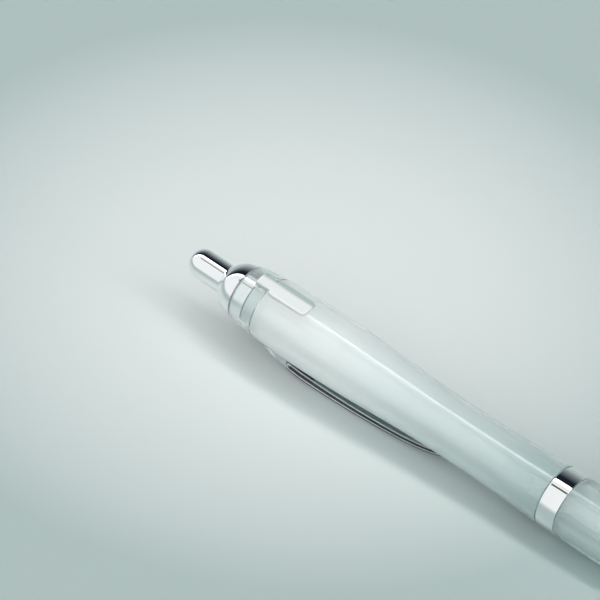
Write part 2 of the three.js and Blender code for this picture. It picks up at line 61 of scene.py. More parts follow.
# The pen is drawn in millimetres along its own axis: x towards the nib from the edge of the chrome dome,
# z towards the label pad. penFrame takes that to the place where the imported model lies, in metres.
joints = {joint["name"]: joint for joint in frame["joints"]}
ballPlace = 126.4  # the writing ball's centre
metre = 1000  # in millimetres
alongPen = Vector(joints["button_press"]["axis"]).normalized()
abovePen = Vector((-alongPen.z, 0, alongPen.x))
penStart = Vector(joints["ball_roll"]["pos_m"]) - alongPen * ballPlace / metre
penFrame = frameOf(penStart, alongPen, (0, 1, 0), abovePen) @ Matrix.Scale(1 / metre, 4)

seam = 0.2  # between end faces that meet along the pen
slide = 0.06  # radial play of what slides or turns
press = 0.05  # radial gap of what is pressed together
hair = 0.001  # keeps neighbouring points apart


# Small tools for outlines: a list of (x, radius) points

def stepsOf(start, end, count):
    return [start + (end - start) * n / count for n in range(count + 1)]


def ease(start, end, share):
    return start + (end - start) * (1 - math.cos(math.pi * share)) / 2


def quarter(middle, low, length, height, count):
    return [(middle - length * math.cos(angle), low + height * math.sin(angle))
            for angle in stepsOf(0, math.pi / 2, count)]


def softened(outline, radius, steps=4, closed=True):
    # Rounds each real corner; points on a smooth run are left as they are
    points = [Vector(p) for p in outline]
    result = []
    for n, point in enumerate(points):
        if not closed and n in (0, len(points) - 1):
            result.append(tuple(point))
            continue
        before = points[n - 1] - point
        after = points[(n + 1) % len(points)] - point
        onAxis = abs(point.y) < 1e-6
        if onAxis or before.length < 1e-6 or after.length < 1e-6 or before.angle(after) > math.radians(160):
            result.append(tuple(point))
            continue
        reach = min(radius, before.length * 0.45, after.length * 0.45)
        start = point + before.normalized() * reach
        end = point + after.normalized() * reach
        for share in stepsOf(0, 1, steps):
            bent = start * (1 - share) ** 2 + point * 2 * share * (1 - share) + end * share ** 2
            result.append(tuple(bent))
    return result


# Small tools for meshes, all in pen millimetres until settle() puts them in place

def rawPiece(name, points, faces):
    mesh = bpy.data.meshes.new(name)
    mesh.from_pydata(points, [], faces)
    shape = bmesh.new()
    shape.from_mesh(mesh)
    bmesh.ops.remove_doubles(shape, verts=shape.verts, dist=1e-4)
    bmesh.ops.dissolve_degenerate(shape, edges=shape.edges, dist=1e-5)
    bmesh.ops.recalc_face_normals(shape, faces=shape.faces)
    shape.to_mesh(mesh)
    shape.free()
    return linked(name, mesh)


def turned(name, outline, sides=128):
    # outline is a closed list of (x, radius), or a function of the angle that gives one
    points = []
    faces = []
    outlineAt = outline if callable(outline) else lambda angle: outline
    for side in range(sides):
        angle = 2 * math.pi * side / sides
        ring = outlineAt(angle)
        points += [(x, radius * math.cos(angle), radius * math.sin(angle)) for x, radius in ring]
    count = len(ring)
    for side in range(sides):
        here = side * count
        there = (side + 1) % sides * count
        for n in range(count):
            m = (n + 1) % count
            faces.append((here + n, here + m, there + m, there + n))
    return rawPiece(name, points, faces)


def stacked(name, rings):
    # rings of equal length, skinned one after the other and closed at both ends
    points = [point for ring in rings for point in ring]
    count = len(rings[0])
    faces = [tuple(range(count)), tuple(range(len(points) - count, len(points)))]
    for level in range(len(rings) - 1):
        for n in range(count):
            m = (n + 1) % count
            low = level * count
            high = low + count
            faces.append((low + n, low + m, high + m, high + n))
    return rawPiece(name, points, faces)


def combined(piece, tool, operation):
    change = piece.modifiers.new(operation, "BOOLEAN")
    change.operation = operation
    change.solver = "EXACT"
    change.object = tool
    graph = bpy.context.evaluated_depsgraph_get()
    result = bpy.data.meshes.new_from_object(piece.evaluated_get(graph))
    piece.modifiers.clear()
    result.materials.clear()
    piece.data = result
    bpy.data.objects.remove(tool)
    return piece


def settle(piece, body, node, slot, *finishes, sharpness=32):
    mesh = piece.data
    mesh.transform(penFrame)
    for finish in finishes:
        mesh.materials.append(finish)
    mesh.shade_smooth()
    mesh.set_sharp_from_angle(angle=math.radians(sharpness))
    even = piece.modifiers.new("evenNormals", "WEIGHTED_NORMAL")
    even.keep_sharp = True
    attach(piece, body)
    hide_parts(node)
    return piece


# Materials: Wire holds one output of a node, and sums on wires add their Math nodes

class Wire:
    def __init__(self, tree, socket):
        self.tree = tree
        self.socket = socket

    def sum(self, operation, first, second):
        node = self.tree.nodes.new("ShaderNodeMath")
        node.operation = operation
        for slot, value in zip(node.inputs, (first, second)):
            if isinstance(value, Wire):
                self.tree.links.new(value.socket, slot)
            else:
                slot.default_value = value
        return Wire(self.tree, node.outputs[0])

    def __add__(self, other):
        return self.sum("ADD", self, other)

    def __radd__(self, other):
        return self.sum("ADD", other, self)

    def __sub__(self, other):
        return self.sum("SUBTRACT", self, other)

    def __rsub__(self, other):
        return self.sum("SUBTRACT", other, self)

    def __mul__(self, other):
        return self.sum("MULTIPLY", self, other)

    def __rmul__(self, other):
        return self.sum("MULTIPLY", other, self)

    def __truediv__(self, other):
        return self.sum("DIVIDE", self, other)


class NodeBench:
    def __init__(self, owner):
        owner.use_nodes = True
        self.tree = owner.node_tree
        self.tree.nodes.clear()

    def node(self, kind, settings=None, output=0, **sockets):
        # A socket is given by its name, or by s and its number
        made = self.tree.nodes.new("ShaderNode" + kind)
        for name, value in (settings or {}).items():
            if name == "stops":
                stops = made.color_ramp.elements
                while len(stops) < len(value):
                    stops.new(1)
                for stop, (place, colour) in zip(stops, value):
                    stop.position = place
                    stop.color = (*colour, 1)
            else:
                setattr(made, name, value)
        for name, value in sockets.items():
            slot = made.inputs[int(name[1:])] if name[1:].isdigit() else made.inputs[name.replace("_", " ")]
            if isinstance(value, Wire):
                self.tree.links.new(value.socket, slot)
            else:
                slot.default_value = value
        return Wire(self.tree, made.outputs[output]) if made.outputs else None

    def place(self):
        return self.node("TexCoord", output="Object")

    def between(self, factor, first, second):
        settings = {"data_type": "RGBA"}
        return self.node("Mix", settings, output=2, s0=factor, s6=(*first, 1), s7=(*second, 1))

    def noise(self, scale, detail=3, roughness=0.5, stretch=None):
        vector = self.place()
        if stretch:
            vector = self.node("Mapping", Vector=vector, Scale=stretch)
        return self.node("TexNoise", Vector=vector, Scale=scale, Detail=detail, Roughness=roughness)

    def bump(self, height, distance, strength):
        return self.node("Bump", Height=height, Distance=distance, Strength=strength)

    def surface(self, wire):
        self.node("OutputMaterial", Surface=wire)


def newFinish(name):
    finish = bpy.data.materials.new(name)
    return finish, NodeBench(finish)


# Chrome plating: near mirror, with a faint haze and the ripple of the plastic under the plating
chromeLook = {"bright": (0.93, 0.94, 0.94), "dull": (0.86, 0.88, 0.885), "rough": 0.035, "haze": 0.05,
              "ripple": 0.00002, "rippleStrength": 0.25, "rippleScale": 320, "cloudScale": 260,
              "hazeScale": 2600}


def chromeFinish():
    finish, bench = newFinish("chromePlating")
    cloud = bench.noise(chromeLook["cloudScale"], 4)
    colour = bench.between(cloud, chromeLook["dull"], chromeLook["bright"])
    fine = bench.noise(chromeLook["hazeScale"], 2)
    waves = bench.noise(chromeLook["rippleScale"], 1)
    bumped = bench.bump(waves, chromeLook["ripple"], chromeLook["rippleStrength"])
    rough = chromeLook["rough"] + fine * cloud * chromeLook["haze"]
    bench.surface(bench.node("BsdfPrincipled", Base_Color=colour, Metallic=1.0, Roughness=rough,
                             Normal=bumped))
    return finish


# Clear plastic: a glassy skin mixed with a slight milkiness
# Of a pair, the first value is for the head and the second for the ring, where the wall is clearer and its
# milk darker, painted shade for the light that falls off towards the ring. reach gives these two places along
# the pen, in metres.
clearLook = {"skin": (0.98, 1.0, 0.995), "milk": ((0.95, 0.975, 0.97), (0.58, 0.68, 0.67)), "index": 1.49,
             "shade": (0.74, 0.96, 0.955), "rough": 0.06, "milkiness": (0.5, 0.36), "clarity": 0.6,
             "cloudiness": 0.3, "milkCloud": 0.8, "skinDepth": 0.97, "haze": 0.02, "ripple": 0.000015,
             "rippleStrength": 0.3, "rippleScale": 140, "rippleStretch": (0.12, 1, 1), "cloudScale": 230,
             "cloudStretch": (0.04, 1, 1), "hazeScale": 1400, "reach": (-0.035, 0.015)}
clipLook = {**clearLook, "milkiness": (0.15, 0.15)}
# Painted shade for the clip's arm: darkened copies of the clear plastic, so that its flanks look dark between
# thin bright lines
armShadeLook = {**clearLook, "skin": (0.52, 0.62, 0.64), "shade": (0.6, 0.75, 0.74), "rough": 0.08,
             "milkiness": (0.04, 0.04), "clarity": 0.4}
armDeepShadeLook = {**armShadeLook, "skin": (0.03, 0.065, 0.1), "index": 1.25, "rough": 0.2, "clarity": 0.2}


def clearFinish(name, look):
    finish, bench = newFinish(name)
    cloud = bench.noise(look["cloudScale"], 3, 0.5, look["cloudStretch"])
    along = bench.node("SeparateXYZ", Vector=bench.place())
    head, ring = look["reach"]
    forward = bench.node("MapRange", {"clamp": True}, Value=along, From_Min=head, From_Max=ring)
    skin = bench.between(cloud, tuple(look["skinDepth"] * part for part in look["skin"]), look["skin"])
    # The milk darkens from head to ring: painted shade
    white = bench.between(forward + (cloud - 0.5) * look["milkCloud"], *look["milk"])
    rough = look["rough"] + bench.noise(look["hazeScale"], 2) * look["haze"]
    waves = bench.noise(look["rippleScale"], 2, 0.5, look["rippleStretch"])
    bumped = bench.bump(waves, look["ripple"], look["rippleStrength"])
    glassy = bench.node("BsdfPrincipled", Base_Color=skin, Roughness=rough, IOR=look["index"],
                        Transmission_Weight=1.0, Normal=bumped)
    milky = bench.node("BsdfPrincipled", Base_Color=white, Roughness=rough, IOR=look["index"], Normal=bumped)
    first, second = look["milkiness"]
    share = first + forward * (second - first) + (cloud - 0.5) * look["cloudiness"]
    body = bench.node("MixShader", s0=share, s1=glassy, s2=milky)
    # Light gets through thin clear walls, so what they shade stays pale
    shading = bench.node("LightPath", output=1) * look["clarity"]
    tinted = bench.node("BsdfTransparent", Color=(*look["shade"], 1))
    bench.surface(bench.node("MixShader", s0=shading, s1=body, s2=tinted))
    return finish


# Plain finishes. The label pad's satin face has a darker band on one side, a painted reflection of the dark
# part of the studio, which starts and ends at the two places given for it in the look, across the pen in
# metres.
plainLook = {"grainStrength": 0.5, "haze": 0.08, "cloudScale": 150, "metal": 0.0}
satinAndReflectionLook = {**plainLook, "pale": (0.73, 0.755, 0.75), "shade": (0.38, 0.46, 0.445), "rough": 0.3,
             "grain": 0.00001, "reflectionBand": (0.0005, 0.0013), "reflectionBandCloud": 0.0003}


def plainFinish(name, look, grainScale=2400):
    finish, bench = newFinish(name)
    cloud = bench.noise(look["cloudScale"], 3)
    # Painted reflection: the pad's face darkens towards one side, across the pen
    if "reflectionBand" in look:
        across = bench.node("SeparateXYZ", output=1, Vector=bench.place())
        start, end = look["reflectionBand"]
        cloud = bench.node("MapRange", {"clamp": True, "interpolation_type": "SMOOTHSTEP"},
                           Value=across + cloud * look["reflectionBandCloud"], From_Min=end, From_Max=start)
    grain = bench.noise(grainScale, 2)
    colour = bench.between(cloud, look["shade"], look["pale"])
    bumped = bench.bump(grain, look["grain"], look["grainStrength"])
    rough = look["rough"] + (grain - 0.5) * look["haze"]
    bench.surface(bench.node("BsdfPrincipled", Base_Color=colour, Metallic=look["metal"], Roughness=rough,
                             Normal=bumped))
    return finish


milkyLook = {**clearLook, "milk": ((0.9, 0.915, 0.91), (0.9, 0.915, 0.91)), "shade": (0.9, 0.97, 0.96),
             "rough": 0.25, "milkiness": (0.8, 0.8), "clarity": 0.5}
whiteLook = {**plainLook, "pale": (0.9, 0.91, 0.9), "shade": (0.85, 0.865, 0.86), "rough": 0.38,
             "grain": 0.00001}
inkLook = {**plainLook, "pale": (0.04, 0.06, 0.2), "shade": (0.02, 0.03, 0.12), "rough": 0.15,
           "grain": 0.000001}
nickelLook = {**plainLook, "pale": (0.8, 0.77, 0.7), "shade": (0.7, 0.67, 0.6), "rough": 0.2,
              "grain": 0.000004, "metal": 1.0}
steelLook = {**plainLook, "pale": (0.75, 0.77, 0.78), "shade": (0.62, 0.64, 0.66), "rough": 0.16,
             "grain": 0.000004, "metal": 1.0}
# Painted shade: a dark metal finish on the dome's back face in the groove under its edge and on the end of
# its sleeve, standing in for the shade there
grooveShadeLook = {**plainLook, "pale": (0.12, 0.15, 0.17), "shade": (0.05, 0.07, 0.08), "rough": 0.35,
              "grain": 0.000004, "metal": 1.0}

chrome = chromeFinish()
paintedGrooveShade = plainFinish("paintedGrooveShade", grooveShadeLook)
clearPlastic = clearFinish("clearPlastic", clearLook)
clipPlastic = clearFinish("clipPlastic", clipLook)
armPaintedShade = clearFinish("armPaintedShade", armShadeLook)
armPaintedDeepShade = clearFinish("armPaintedDeepShade", armDeepShadeLook)
satinPadAndReflection = plainFinish("satinPadAndReflection", satinAndReflectionLook)
milkyPlastic = clearFinish("milkyPlastic", milkyLook)
whitePlastic = plainFinish("whitePlastic", whiteLook)
inkFluid = plainFinish("inkFluid", inkLook)
nickel = plainFinish("turnedNickel", nickelLook, 3200)
steel = plainFinish("brightSteel", steelLook, 3200)
print("materials made")


# Push button, and the dome's sizes, which place it
buttonSize = {"radius": 2.95, "wall": 0.5, "out": 8.75, "lip": (0.8, 0.4), "stroke": 6, "bevel": 0.08,
              "tipLand": 1}
domeSize = {"length": 4.3, "radius": 5.35, "fullness": 2.3, "lip": 0.35, "wall": 1.1,
            "sleeve": (3, 4.85), "bore": 3.45, "groove": 0.35, "grooveBack": 0.01, "endBand": 0.08,
            "boreMargin": 0.05, "mouthBevel": 0.12, "bevel": 0.06}
buttonTip = -domeSize["length"] - buttonSize["out"]
buttonEnd = -domeSize["length"] + domeSize["wall"] + seam + buttonSize["lip"][0]
tipCentre = buttonTip + buttonSize["radius"]
buttonBore = buttonSize["radius"] - buttonSize["wall"]


def pushButton():
    radius = buttonSize["radius"]
    lipLength, lipHeight = buttonSize["lip"]
    inner = [(tipCentre - buttonBore * math.cos(angle), buttonBore * math.sin(angle))
             for angle in stepsOf(math.pi / 2, 0, 12)]
    wallStart = tipCentre + buttonSize["tipLand"]
    wall = [(wallStart, radius), (buttonEnd - lipLength, radius), (buttonEnd - lipLength, radius + lipHeight),
            (buttonEnd, radius + lipHeight), (buttonEnd, buttonBore), (wallStart, buttonBore)]
    tip = quarter(tipCentre, 0, radius, radius, 32)
    outline = tip + softened(wall, buttonSize["bevel"], closed=False) + inner
    return settle(turned("push_button_skin", outline), "button", "push_button", "chrome", chrome)


# Chrome dome with the sleeve that shows through the clip's ring
def topCollar():
    mouth = buttonSize["radius"] + slide
    lip = buttonSize["radius"] + domeSize["lip"]
    length, radius, bore = domeSize["length"], domeSize["radius"], domeSize["bore"]
    sleeveEnd, sleeveRadius = domeSize["sleeve"]
    headRoom = guideSize["head"][2] + press
    back = guideSize["head"][0] - seam
    wallEnd = domeSize["wall"] - length
    mouthLine = [(wallEnd, mouth), (-length, mouth), (-length, lip)]
    outline = softened(mouthLine, domeSize["mouthBevel"], closed=False)
    outline += [(-length * share, radius - (radius - lip) * share ** domeSize["fullness"])
                for share in stepsOf(1, 0, 32)[1:]]
    outline += softened([(-hair, radius), (0, radius), (0, sleeveRadius), (domeSize["groove"], sleeveRadius),
                         (sleeveEnd, sleeveRadius), (sleeveEnd, headRoom), (back, headRoom), (back, bore),
                         (wallEnd, bore), (wallEnd, mouth)], domeSize["bevel"], closed=False)[1:-1]
    collar = turned("top_collar_skin", outline)
    # Painted shade: faces in the groove under the dome's edge and at the sleeve's end take the dark finish
    for face in collar.data.polygons:
        x, y, z = face.center
        inPaintedShade = -domeSize["grooveBack"] < x < domeSize["groove"] or x > sleeveEnd - domeSize["endBand"]
        face.material_index = int(inPaintedShade and math.hypot(y, z) > headRoom + domeSize["boreMargin"])
    return settle(collar, "upper_body", "top_collar", "chrome", chrome, paintedGrooveShade)


# Click mechanism inside: guide, thrust cam and rotor
guideSize = {"head": (0.5, 6, 4.05), "radius": 3, "bore": 2.45, "ribBore": 1.9, "ribAngle": 40, "ribs": 4,
             "headBevel": 0.15, "bevel": 0.1}
camSize = {"stem": 2.32, "radius": 1.82, "bore": 1.1, "boreDepth": 4, "shoulder": 0.7, "spline": (2, 30),
           "tooth": 0.6, "rib": 3, "slant": 0.5, "skirt": (2.2, 2.5), "socket": 2.2, "latched": 5, "spare": 1,
           "topBevel": 0.2, "bevel": 0.1}
guideFloor = buttonEnd + buttonSize["stroke"] + 2 * seam
stemEnd = guideFloor - camSize["shoulder"]
ribStart = stemEnd + buttonSize["stroke"] + seam
splineLength, splineAngle = camSize["spline"]
camTeeth = ribStart + splineLength + camSize["tooth"]
rotorTop = camTeeth + seam
rotorRibStart = rotorTop + camSize["tooth"]
ribEnd = rotorRibStart + camSize["latched"]
skirtStart = ribEnd + seam
skirtRadius, skirtLength = camSize["skirt"]
rotorEnd = skirtStart + skirtLength
refillStart = rotorEnd - camSize["socket"] + seam
guideEnd = rotorRibStart + camSize["rib"] + buttonSize["stroke"] + camSize["spare"]
sectorStep = 2 * math.pi / guideSize["ribs"]


def onRib(angle, width, shift):
    # share along a rib that starts at its edge, or None between the ribs
    half = math.radians(width) / 2
    offset = (angle + half - shift * sectorStep) % sectorStep
    return offset / (2 * half) if offset <= 2 * half + 1e-6 else None


def toothHeight(angle):
    phase = angle / math.pi * guideSize["ribs"] % 1
    return camSize["tooth"] * (1 - abs(2 * phase - 1))


def camGuide():
    headStart, headEnd, headRadius = guideSize["head"]
    radius, bore = guideSize["radius"], guideSize["bore"]
    headBevel, bevel = guideSize["headBevel"], guideSize["bevel"]

    def outline(angle):
        share = onRib(angle, guideSize["ribAngle"], 0)
        inner = bore if share is None else guideSize["ribBore"]
        end = ribEnd - camSize["slant"] * (share or 0)
        return [(headStart, headRadius - headBevel), (headStart + headBevel, headRadius),
                (headEnd - headBevel, headRadius), (headEnd, headRadius - headBevel), (headEnd, radius),
                (guideEnd - bevel, radius), (guideEnd, radius - bevel), (guideEnd, bore), (end, bore),
                (end, inner), (ribStart, inner), (ribStart, bore), (guideFloor, bore),
                (guideFloor, domeSize["bore"]), (headStart, domeSize["bore"])]
    guide = turned("cam_guide_skin", outline, 108)
    return settle(guide, "upper_body", "cam_guide", "milky_plastic", milkyPlastic)


def thrustCam():
    stemTop = tipCentre + seam
    splineEnd = camTeeth - 2 * camSize["tooth"]
    splineStart = splineEnd - splineLength
    fit = buttonBore - press
    stem, radius, bore = camSize["stem"], camSize["radius"], camSize["bore"]
    boreStart = camTeeth - camSize["boreDepth"]
    topBevel, bevel = camSize["topBevel"], camSize["bevel"]

    def outline(angle):
        outer = radius if onRib(angle, splineAngle, 0.5) is None else stem
        tip = camTeeth - toothHeight(angle)
        return [(stemTop, 0), (stemTop, fit - topBevel), (stemTop + topBevel, fit),
                (buttonEnd - bevel, fit), (buttonEnd, fit - bevel / 2), (buttonEnd, stem),
                (stemEnd - bevel, stem), (stemEnd, stem - bevel), (stemEnd, radius),
                (splineStart, radius), (splineStart, outer), (splineEnd, outer), (splineEnd, radius),
                (tip, radius), (tip, bore), (boreStart, bore), (boreStart, 0)]
    cam = turned("thrust_cam_skin", outline, 96)
    return settle(cam, "button", "thrust_cam", "white_plastic", whitePlastic)


def rotor():
    pilot = camSize["bore"] - 2 * slide
    pilotStart = camTeeth - camSize["boreDepth"] + 2 * seam
    stem, radius = camSize["stem"], camSize["radius"]
    socket = refillSize["radius"] + press
    socketStart = rotorEnd - camSize["socket"]
    ribFront = rotorRibStart + camSize["rib"]
    bevel = camSize["bevel"]

    def outline(angle):
        share = onRib(angle, splineAngle, 0.5)
        outer = radius if share is None else stem
        start = rotorRibStart + camSize["slant"] * (1 - (share or 0))
        crown = rotorTop - toothHeight(angle)
        return [(pilotStart, 0), (pilotStart, pilot - bevel), (pilotStart + bevel, pilot), (crown, pilot),
                (crown, radius), (start, radius), (start, outer), (ribFront, outer), (ribFront, radius),
                (skirtStart, radius), (skirtStart, skirtRadius), (rotorEnd - bevel, skirtRadius),
                (rotorEnd, skirtRadius - bevel), (rotorEnd, socket), (socketStart, socket), (socketStart, 0)]
    return settle(turned("rotor_skin", outline, 96), "rotor", "rotor", "white_plastic", whitePlastic)


# Outer line of the clip's ring and the upper barrel
upperSize = {"shoulder": (5.58, 2.5), "belly": (17.5, 6.55), "waist": (50, 5.55), "end": (73.3, 6.12),
             "flare": 2, "start": 6, "neckBack": 0.75, "bore": 4.5, "ledge": (1, 3.3), "threadWall": 1.16,
             "threadLength": 9, "threadRunOut": 0.3, "bevel": 0.1}


def upperRadius(x):
    shoulder, fullness = upperSize["shoulder"]
    bellyPlace, belly = upperSize["belly"]
    waistPlace, waist = upperSize["waist"]
    endPlace, end = upperSize["end"]
    if x < bellyPlace:
        return belly - (belly - shoulder) * (1 - x / bellyPlace) ** fullness
    if x < waistPlace:
        return ease(belly, waist, (x - bellyPlace) / (waistPlace - bellyPlace))
    return waist + (end - waist) * ((x - waistPlace) / (endPlace - waistPlace)) ** upperSize["flare"]


def upperLine(start, end, count, extra=0.0):
    return [(x, upperRadius(x) + extra) for x in stepsOf(start, end, count)]


# Clip: a ring under the dome and an arched arm, one moulding
# Past the slot's start the arm's lower faces carry painted shade: deep, except on flat faces past darkEnd,
# which get a lighter painted shade, and on the bright lines, which stay clear. flat, innerLine and flankLine
# are a normal's share sideways, and inward is its share towards the barrel.
clipSize = {"halfWidth": 3.1, "tipHalfWidth": 1.1, "taper": 13, "thickness": 1.25, "tipThickness": 0.9,
            "reach": (18.5, 10.2), "root": (4.6, 0.27), "riseBend": 2.5, "fallBend": 2, "slot": (12.7, 0.8),
            "end": 50.5, "tipGap": 0.12, "edge": 0.3, "chamfer": 0.6, "chamferRound": 0.28, "crown": 0.06,
            "clearance": 0.25, "keyPlay": 0.15, "taperBend": 2.6, "ringBevel": 0.1, "tipRound": 1,
            "tipShrink": 0.12, "past": 1, "edgeShare": (0.45, 0.6), "chamferShare": (0.5, 0.4),
            "darkEnd": 18, "flat": 0.25, "innerLine": (0.25, 0.62), "flankLine": (0.8, 0.97), "inward": 0.1}
clipBelly, clipReach = clipSize["reach"]
clipRoot, rootDepth = clipSize["root"]
rootReach = upperRadius(clipRoot) - rootDepth
tipReach = upperRadius(clipSize["end"]) + clipSize["tipGap"] + clipSize["tipThickness"]


def clipOuter(x):
    if x < clipBelly:
        share = (clipBelly - x) / (clipBelly - clipRoot)
        return clipReach - (clipReach - rootReach) * share ** clipSize["riseBend"]
    share = (x - clipBelly) / (clipSize["end"] - clipBelly)
    return clipReach - (clipReach - tipReach) * share ** clipSize["fallBend"]


def clipWall(x):
    share = max(0, x - clipBelly) / (clipSize["end"] - clipBelly)
    return clipSize["thickness"] + (clipSize["tipThickness"] - clipSize["thickness"]) * share


def clipHalfWidth(x):
    wide, narrow = clipSize["halfWidth"], clipSize["tipHalfWidth"]
    taperStart = clipSize["end"] - clipSize["taper"]
    if x < taperStart:
        return wide
    share = (x - taperStart) / clipSize["taper"]
    return narrow + (wide - narrow) * math.sqrt(max(0, 1 - share ** clipSize["taperBend"]))


def armSection(x, inner):
    # Across the pen: a rounded, slightly crowned outer face and chamfered edges at the inner one
    half = clipHalfWidth(x)
    outer = clipOuter(x) - clipSize["crown"]
    deepShare, wideShare = clipSize["edgeShare"]
    edge = min(clipSize["edge"], (outer - inner) * deepShare, half * wideShare)
    deepShare, wideShare = clipSize["chamferShare"]
    chamfer = min(clipSize["chamfer"], (outer - inner) * deepShare, half * wideShare)
    corners = [(half, inner + chamfer), (half, outer), (-half, outer), (-half, inner + chamfer),
               (chamfer - half, inner), (half - chamfer, inner)]
    outside = softened(corners[:4], edge, 6, closed=False)[1:-1]
    inside = softened(corners[2:] + corners[:2], clipSize["chamferRound"], 4, closed=False)[1:-1]
    crown = [(y, outer + clipSize["crown"] * math.cos(y / half * math.pi / 2))
             for y in stepsOf(half - edge, edge - half, 10)[1:-1]]
    return [(x, y, -z) for y, z in outside[:7] + crown + outside[7:] + inside]


def clip():
    bore = domeSize["sleeve"][1] + 2 * press
    ringEnd = upperSize["start"] - seam
    slotStart, slotRound = clipSize["slot"]
    slotTop = slotStart + slotRound
    past, tipRound = clipSize["past"], clipSize["tipRound"]
    ringLine = upperLine(seam, ringEnd, 12) + [(ringEnd, bore), (seam, bore)]
    ring = turned("clip_skin", softened(ringLine, clipSize["ringBevel"]))
    sections = [armSection(x, bore - past) for x in stepsOf(clipRoot, slotStart, 16)]
    ceiling = clipOuter(slotTop) - clipWall(slotTop)
    for angle in stepsOf(0, math.pi / 2, 6):
        x = slotTop - slotRound * math.cos(angle) + hair
        sections.append(armSection(x, ceiling - slotRound * (1 - math.sin(angle))))
    tipStart = clipSize["end"] - tipRound
    sections += [armSection(x, clipOuter(x) - clipWall(x)) for x in stepsOf(slotTop, tipStart, 44)[1:]]
    for angle in stepsOf(0, math.pi / 2, 6)[1:]:
        x = tipStart + tipRound * math.sin(angle)
        shrink = max(clipSize["tipShrink"], math.cos(angle))
        section = armSection(x, clipOuter(x) - clipWall(x))
        middle = clipOuter(x) - clipWall(x) / 2
        sections.append([(x, y * shrink, -middle + (z + middle) * shrink) for _, y, z in section])
    arm = stacked("clipArm", sections)
    barrelLine = upperLine(upperSize["start"], slotTop, 10, clipSize["clearance"])
    barrelRoom = turned("barrelRoom", [(ringEnd, 0), (ringEnd, barrelLine[0][1]), *barrelLine, (slotTop, 0)])
    roomEnd = ringEnd + seam
    sleeveRoom = turned("sleeveRoom", [(-past, 0), (-past, bore), (roomEnd, bore), (roomEnd, 0)])
    notchHalf = padSize["keyHalfWidth"] + clipSize["keyPlay"]
    notch = boxPiece("notch", domeSize["sleeve"][0], upperSize["start"] + past, notchHalf, 2,
                     padSize["top"] + past)
    whole = combined(ring, arm, "UNION")
    for tool in (barrelRoom, sleeveRoom, notch):
        whole = combined(whole, tool, "DIFFERENCE")
    lines = (clipSize["innerLine"], clipSize["flankLine"])
    # Painted shade on the arm: 3 keeps the bright lines clear, 1 is the lighter and 2 the deep painted shade
    for face in whole.data.polygons:
        x, y, z = face.center
        sideways = abs(face.normal.y)
        if x < slotStart or z > 0:
            continue
        onFlat = sideways < clipSize["flat"]
        onLine = face.normal.z > clipSize["inward"] and any(low < sideways < high for low, high in lines)
        face.material_index = 3 if onLine else 1 if onFlat and x > clipSize["darkEnd"] else 2
    return settle(whole, "upper_body", "clip", "clear_plastic",
                  clipPlastic, armPaintedShade, armPaintedDeepShade, clearPlastic)


def boxPiece(name, fromX, toX, halfWidth, low, high):
    corners = [(fromX, -halfWidth), (toX, -halfWidth), (toX, halfWidth), (fromX, halfWidth)]
    return stacked(name, [[(x, y, z) for x, y in corners] for z in (low, high)])


# Upper barrel with its bare label pad
padSize = {"top": 6.85, "halfWidth": 2, "end": 15.2, "corner": 0.9, "shoulder": 1.2, "bend": 0.26,
           "edge": 0.4, "keyHalfWidth": 1.2, "keyDrop": 0.1, "satinDepth": 0.13, "satinReach": 0.1}


def padRing(inset):
    start = upperSize["start"] + seam
    shoulder = start + padSize["shoulder"]
    half, corner, end = padSize["halfWidth"] - inset, padSize["corner"], padSize["end"] - inset
    key = padSize["keyHalfWidth"] - inset
    ring = []
    for share in stepsOf(0, 1, 8):
        left = 1 - share
        x = left ** 2 * start + 2 * share * left * (start + padSize["bend"]) + share ** 2 * shoulder
        y = left ** 2 * key + (1 - left ** 2) * half
        ring.append((x + inset * left, -y))
    for angle in stepsOf(-math.pi / 2, 0, 6):
        ring.append((end - corner + corner * math.cos(angle), corner - half + corner * math.sin(angle)))
    return ring + [(x, -y) for x, y in reversed(ring)]


def labelPad(bottom):
    edge = padSize["edge"]
    levels = [(bottom, 0), (padSize["top"] - edge, 0)]
    levels += [(padSize["top"] - edge + edge * math.sin(angle), edge - edge * math.cos(angle))
               for angle in stepsOf(0, math.pi / 2, 4)[1:]]
    return stacked("labelPad", [[(x, y, z) for x, y in padRing(inset)] for z, inset in levels])


def upperBarrel():
    neckStart = domeSize["sleeve"][0] + seam
    neckBore = guideSize["head"][2] + press
    neckBack = neckBore + upperSize["neckBack"]
    start = upperSize["start"]
    endPlace = upperSize["end"][0]
    ledgeStart = guideSize["head"][1] + seam
    ledgeLength, ledgeBore = upperSize["ledge"]
    threadBore = upperSize["end"][1] - upperSize["threadWall"]
    threadStart = endPlace - upperSize["threadLength"] - 2 * seam
    bore = upperSize["bore"]
    outline = softened(
        [(neckStart, neckBore), (neckStart, neckBack), (start, neckBack)] + upperLine(start, endPlace, 90)
        + [(endPlace, threadBore), (threadStart, threadBore), (threadStart - upperSize["threadRunOut"], bore),
           (ledgeStart + ledgeLength, bore), (ledgeStart + ledgeLength, ledgeBore), (ledgeStart, ledgeBore),
           (ledgeStart, neckBore)], upperSize["bevel"])
    insideWall = (neckBack + bore) / 2
    barrel = turned("upper_barrel_skin", outline)
    key = boxPiece("key", neckStart, start + padSize["shoulder"], padSize["keyHalfWidth"], insideWall,
                   padSize["top"] - padSize["keyDrop"])
    barrel = combined(barrel, labelPad(insideWall), "UNION")
    barrel = combined(barrel, key, "UNION")
    satinReach = padSize["satinReach"]
    for face in barrel.data.polygons:
        x, y, z = face.center
        onPad = neckStart < x < padSize["end"] + satinReach and abs(y) < padSize["halfWidth"] + satinReach
        face.material_index = int(onPad and z > padSize["top"] - padSize["satinDepth"])
    return settle(barrel, "upper_body", "upper_barrel", "clear_plastic", clearPlastic, satinPadAndReflection)


